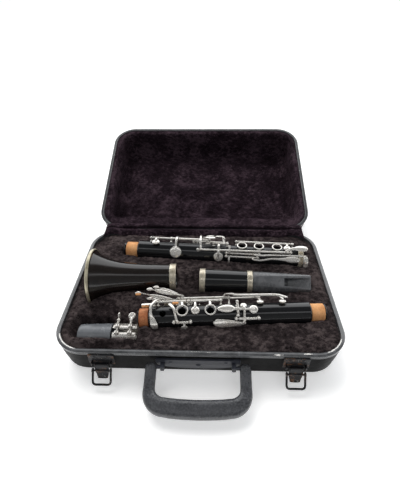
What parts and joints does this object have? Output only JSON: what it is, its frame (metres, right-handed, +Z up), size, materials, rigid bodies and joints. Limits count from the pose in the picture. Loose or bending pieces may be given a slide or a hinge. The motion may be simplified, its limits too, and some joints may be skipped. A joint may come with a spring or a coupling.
{
  "type": "clarinet in case",
  "caption": "Clarinet taken apart in its open fitted hard case: bell, keyed joints, barrel with mouthpiece, ligature and cap in plush, with hinged lid, latches and handle.",
  "frame": {"origin": "middle of the case base's underside, on the table", "axes": "+Z up; +X along the case towards the mouthpiece end; -Y is the handle side"},
  "size_m": [0.3268, 0.4977, 0.1198],
  "materials": {
    "case_shell": "textured black moulded plastic, slightly glossy, scuffed at the corners",
    "case_rim": "black rim with a worn bead, chipped pale along the edge",
    "base_plush": "brown-black deep pile plush",
    "lid_plush": "dark plum deep pile plush",
    "latch_metal": "black enamel worn to bare metal and rust at the edges",
    "hinge_steel": "dull steel",
    "handle_plastic": "grained grey-black moulded plastic",
    "joint_black": "polished black",
    "bell_brown_black": "polished brown-black",
    "key_nickel": "nickel plate, lightly tarnished",
    "ring_nickel_silver": "dull yellowish nickel silver",
    "cork": "natural cork",
    "mouthpiece_rubber": "satin black hard rubber",
    "cap_plastic": "satin charcoal plastic"
  },
  "bodies": {
    "case_base": {"base_shell": "case_shell", "base_rim": "case_rim", "base_lining": "base_plush", "hinge_leaf_base": "hinge_steel", "hinge_pin": "hinge_steel", "handle_bracket": "latch_metal", "latch_plate_left": "latch_metal", "latch_plate_right": "latch_metal"},
    "lid": {"lid_shell": "case_shell", "lid_rim": "case_rim", "lid_lining": "lid_plush", "hinge_leaf_lid": "hinge_steel", "strike_left": "latch_metal", "strike_right": "latch_metal"},
    "handle": {"handle_grip": "handle_plastic"},
    "lever_left": {"latch_lever_left": "latch_metal"},
    "lever_right": {"latch_lever_right": "latch_metal"},
    "loop_left": {"latch_loop_left": "latch_metal"},
    "loop_right": {"latch_loop_right": "latch_metal"},
    "bell": {"bell_body": "bell_brown_black", "bell_rim_ring": "ring_nickel_silver", "bell_socket_ring": "ring_nickel_silver"},
    "barrel": {"barrel_body": "joint_black", "barrel_ring_lower": "ring_nickel_silver", "barrel_ring_upper": "ring_nickel_silver"},
    "mouthpiece": {"mouthpiece_body": "mouthpiece_rubber", "mouthpiece_tenon_cork": "cork"},
    "ligature": {"ligature_band": "key_nickel"},
    "thumbscrew_1": {"ligature_screw_1": "key_nickel"},
    "thumbscrew_2": {"ligature_screw_2": "key_nickel"},
    "cap": {"mouthpiece_cap": "cap_plastic"},
    "upper_joint": {"upper_joint_body": "joint_black", "upper_lower_tenon_cork": "cork", "upper_top_tenon_cork": "cork"},
    "lower_joint": {"lower_joint_body": "joint_black", "lower_tenon_cork": "cork", "lower_socket_ring": "ring_nickel_silver", "thumb_rest": "key_nickel"},
    "key_upper_ring_key_lower": {"upper_ring_key_lower": "key_nickel"},
    "key_upper_ring_key_middle": {"upper_ring_key_middle": "key_nickel"},
    "key_c_sharp_lever": {"c_sharp_lever": "key_nickel"},
    "key_sliver_key": {"sliver_key": "key_nickel"},
    "key_throat_a_key": {"throat_a_key": "key_nickel"},
    "key_throat_g_sharp_key": {"throat_g_sharp_key": "key_nickel"},
    "key_trill_key_upper": {"trill_key_upper": "key_nickel"},
    "key_trill_key_lower": {"trill_key_lower": "key_nickel"},
    "key_side_key_b_flat": {"side_key_b_flat": "key_nickel"},
    "key_side_key_f_sharp": {"side_key_f_sharp": "key_nickel"},
    "key_thumb_ring_key": {"thumb_ring_key": "key_nickel"},
    "key_register_key": {"register_key": "key_nickel"},
    "key_right_hand_ring_key": {"right_hand_ring_key": "key_nickel"},
    "key_low_e_key": {"low_e_key": "key_nickel"},
    "key_low_f_key": {"low_f_key": "key_nickel"},
    "key_f_sharp_key": {"f_sharp_key": "key_nickel"},
    "key_a_flat_key": {"a_flat_key": "key_nickel"},
    "key_left_e_lever": {"left_e_lever": "key_nickel"},
    "key_left_f_sharp_lever": {"left_f_sharp_lever": "key_nickel"},
    "key_left_f_lever": {"left_f_lever": "key_nickel"}
  },
  "joints": [
    {"name": "lid_hinge", "type": "hinge", "parent": "case_base", "child": "lid", "pos_m": [0, 0.1126, 0.044], "axis": [-1, 0, 0], "range_deg": [-160, 0]},
    {"name": "handle_pivot", "type": "hinge", "parent": "case_base", "child": "handle", "pos_m": [0, -0.1156, 0.0275], "axis": [-1, 0, 0], "range_deg": [0, 95]},
    {"name": "latch_lever_left_pivot", "type": "hinge", "parent": "case_base", "child": "lever_left", "pos_m": [-0.1055, -0.114, 0.028], "axis": [-1, 0, 0], "range_deg": [0, 60]},
    {"name": "latch_loop_left_pivot", "type": "hinge", "parent": "lever_left", "child": "loop_left", "pos_m": [-0.1055, -0.1176, 0.0215], "axis": [-1, 0, 0], "range_deg": [-30, 90]},
    {"name": "latch_lever_right_pivot", "type": "hinge", "parent": "case_base", "child": "lever_right", "pos_m": [0.1055, -0.114, 0.028], "axis": [-1, 0, 0], "range_deg": [0, 60]},
    {"name": "latch_loop_right_pivot", "type": "hinge", "parent": "lever_right", "child": "loop_right", "pos_m": [0.1055, -0.1176, 0.0215], "axis": [-1, 0, 0], "range_deg": [-30, 90]},
    {"name": "bell_lift", "type": "slide", "parent": "case_base", "child": "bell", "axis": [0, 0, 1], "range_m": [0, 0.12]},
    {"name": "barrel_lift", "type": "slide", "parent": "case_base", "child": "barrel", "axis": [0, 0, 1], "range_m": [0, 0.12]},
    {"name": "ligature_lift", "type": "slide", "parent": "case_base", "child": "ligature", "axis": [0, 0, 1], "range_m": [0, 0.12]},
    {"name": "cap_lift", "type": "slide", "parent": "case_base", "child": "cap", "axis": [0, 0, 1], "range_m": [0, 0.12]},
    {"name": "upper_joint_lift", "type": "slide", "parent": "case_base", "child": "upper_joint", "axis": [0, 0, 1], "range_m": [0, 0.12]},
    {"name": "lower_joint_lift", "type": "slide", "parent": "case_base", "child": "lower_joint", "axis": [0, 0, 1], "range_m": [0, 0.12]},
    {"name": "mouthpiece_pull", "type": "slide", "parent": "barrel", "child": "mouthpiece", "axis": [0.9997, -0.0227, 0], "range_m": [0, 0.015]},
    {"name": "thumbscrew_1_turn", "type": "hinge", "parent": "ligature", "child": "thumbscrew_1", "pos_m": [-0.09427, -0.07633, 0.04085], "axis": [-0.0103, 0.9848, 0.1736], "continuous": true},
    {"name": "thumbscrew_2_turn", "type": "hinge", "parent": "ligature", "child": "thumbscrew_2", "pos_m": [-0.07927, -0.07617, 0.04085], "axis": [-0.0103, 0.9848, 0.1736], "continuous": true},
    {"name": "upper_ring_key_lower_rock", "type": "hinge", "parent": "upper_joint", "child": "key_upper_ring_key_lower", "pos_m": [-0.03321, -0.04512, 0.0547], "axis": [0.9983, 0.0583, 0], "range_deg": [0, 4], "stiffness_Nm_per_rad": 0.02, "springref_deg": -6.88},
    {"name": "upper_ring_key_middle_rock", "type": "hinge", "parent": "upper_joint", "child": "key_upper_ring_key_middle", "pos_m": [0.00472, -0.0429, 0.0547], "axis": [0.9983, 0.0583, 0], "range_deg": [0, 4], "stiffness_Nm_per_rad": 0.02, "springref_deg": -6.88},
    {"name": "c_sharp_lever_rock", "type": "hinge", "parent": "upper_joint", "child": "key_c_sharp_lever", "pos_m": [-0.04341, -0.04203, 0.05032], "axis": [0.9983, 0.0583, 0], "range_deg": [0, 3], "stiffness_Nm_per_rad": 0.02, "springref_deg": -6.88},
    {"name": "sliver_key_rock", "type": "hinge", "parent": "upper_joint", "child": "key_sliver_key", "pos_m": [-0.01971, -0.07059, 0.04772], "axis": [0.9983, 0.0583, 0], "range_deg": [-4, 0], "stiffness_Nm_per_rad": 0.02, "springref_deg": 6.88},
    {"name": "throat_a_key_rock", "type": "hinge", "parent": "upper_joint", "child": "key_throat_a_key", "pos_m": [0.0441, -0.05673, 0.05645], "axis": [-0.0557, 0.9547, 0.2924], "range_deg": [-5, 0], "stiffness_Nm_per_rad": 0.02, "springref_deg": 6.88},
    {"name": "throat_g_sharp_key_rock", "type": "hinge", "parent": "upper_joint", "child": "key_throat_g_sharp_key", "pos_m": [0.05511, -0.06533, 0.04998], "axis": [0.9983, 0.0583, 0], "range_deg": [0, 5], "stiffness_Nm_per_rad": 0.02, "springref_deg": -6.88},
    {"name": "trill_key_upper_rock", "type": "hinge", "parent": "upper_joint", "child": "key_trill_key_upper", "pos_m": [0.00641, -0.03757, 0.05417], "axis": [0.9983, 0.0583, 0], "range_deg": [-3, 0], "stiffness_Nm_per_rad": 0.02, "springref_deg": 6.88},
    {"name": "trill_key_lower_rock", "type": "hinge", "parent": "upper_joint", "child": "key_trill_key_lower", "pos_m": [0.02122, -0.03378, 0.04896], "axis": [0.9983, 0.0583, 0], "range_deg": [-3, 0], "stiffness_Nm_per_rad": 0.02, "springref_deg": 6.88},
    {"name": "side_key_b_flat_rock", "type": "hinge", "parent": "upper_joint", "child": "key_side_key_b_flat", "pos_m": [-0.02164, -0.03744, 0.04351], "axis": [0.9983, 0.0583, 0], "range_deg": [-4, 0], "stiffness_Nm_per_rad": 0.02, "springref_deg": 6.88},
    {"name": "side_key_f_sharp_rock", "type": "hinge", "parent": "upper_joint", "child": "key_side_key_f_sharp", "pos_m": [-0.02365, -0.03729, 0.0384], "axis": [0.9983, 0.0583, 0], "range_deg": [0, 4], "stiffness_Nm_per_rad": 0.02, "springref_deg": -6.88},
    {"name": "thumb_ring_key_rock", "type": "hinge", "parent": "upper_joint", "child": "key_thumb_ring_key", "pos_m": [0.01257, -0.04006, 0.02745], "axis": [0.9983, 0.0583, 0], "range_deg": [-5, 0], "stiffness_Nm_per_rad": 0.02, "springref_deg": 6.88},
    {"name": "register_key_rock", "type": "hinge", "parent": "upper_joint", "child": "key_register_key", "pos_m": [0.06697, -0.04532, 0.02355], "axis": [-0.0557, 0.9547, 0.2924], "range_deg": [0, 4], "stiffness_Nm_per_rad": 0.02, "springref_deg": -6.88},
    {"name": "right_hand_ring_key_rock", "type": "hinge", "parent": "lower_joint", "child": "key_right_hand_ring_key", "pos_m": [0.08884, 0.06619, 0.05611], "axis": [0.998, -0.0628, 0], "range_deg": [0, 5], "stiffness_Nm_per_rad": 0.02, "springref_deg": -6.88},
    {"name": "low_e_key_rock", "type": "hinge", "parent": "lower_joint", "child": "key_low_e_key", "pos_m": [-0.03106, 0.07155, 0.05772], "axis": [0.998, -0.0628, 0], "range_deg": [0, 4], "stiffness_Nm_per_rad": 0.02, "springref_deg": -6.88},
    {"name": "low_f_key_rock", "type": "hinge", "parent": "lower_joint", "child": "key_low_f_key", "pos_m": [-0.01577, 0.07569, 0.05442], "axis": [0.998, -0.0628, 0], "range_deg": [0, 4], "stiffness_Nm_per_rad": 0.02, "springref_deg": -6.88},
    {"name": "f_sharp_key_rock", "type": "hinge", "parent": "lower_joint", "child": "key_f_sharp_key", "pos_m": [0.02548, 0.06252, 0.05723], "axis": [0.998, -0.0628, 0], "range_deg": [-4, 0], "stiffness_Nm_per_rad": 0.02, "springref_deg": 6.88},
    {"name": "a_flat_key_rock", "type": "hinge", "parent": "lower_joint", "child": "key_a_flat_key", "pos_m": [0.01141, 0.07782, 0.04748], "axis": [0.998, -0.0628, 0], "range_deg": [0, 4], "stiffness_Nm_per_rad": 0.02, "springref_deg": -6.88},
    {"name": "left_e_lever_rock", "type": "hinge", "parent": "lower_joint", "child": "key_left_e_lever", "pos_m": [0.05717, 0.04861, 0.05575], "axis": [0.9988, -0.0492, 0.0082], "range_deg": [-4, 0], "stiffness_Nm_per_rad": 0.02, "springref_deg": 6.88},
    {"name": "left_f_sharp_lever_rock", "type": "hinge", "parent": "lower_joint", "child": "key_left_f_sharp_lever", "pos_m": [0.05552, 0.04617, 0.05287], "axis": [0.998, -0.0628, 0], "range_deg": [0, 4], "stiffness_Nm_per_rad": 0.02, "springref_deg": -6.88},
    {"name": "left_f_lever_rock", "type": "hinge", "parent": "lower_joint", "child": "key_left_f_lever", "pos_m": [0.05533, 0.04326, 0.04933], "axis": [0.998, -0.0628, 0], "range_deg": [0, 4], "stiffness_Nm_per_rad": 0.02, "springref_deg": -6.88}
  ],
  "couplings": [
    {"joint": "low_e_key_rock", "follows": "left_e_lever_rock", "ratio": -1},
    {"joint": "low_f_key_rock", "follows": "left_f_lever_rock", "ratio": 1},
    {"joint": "f_sharp_key_rock", "follows": "left_f_sharp_lever_rock", "ratio": -1}
  ]
}
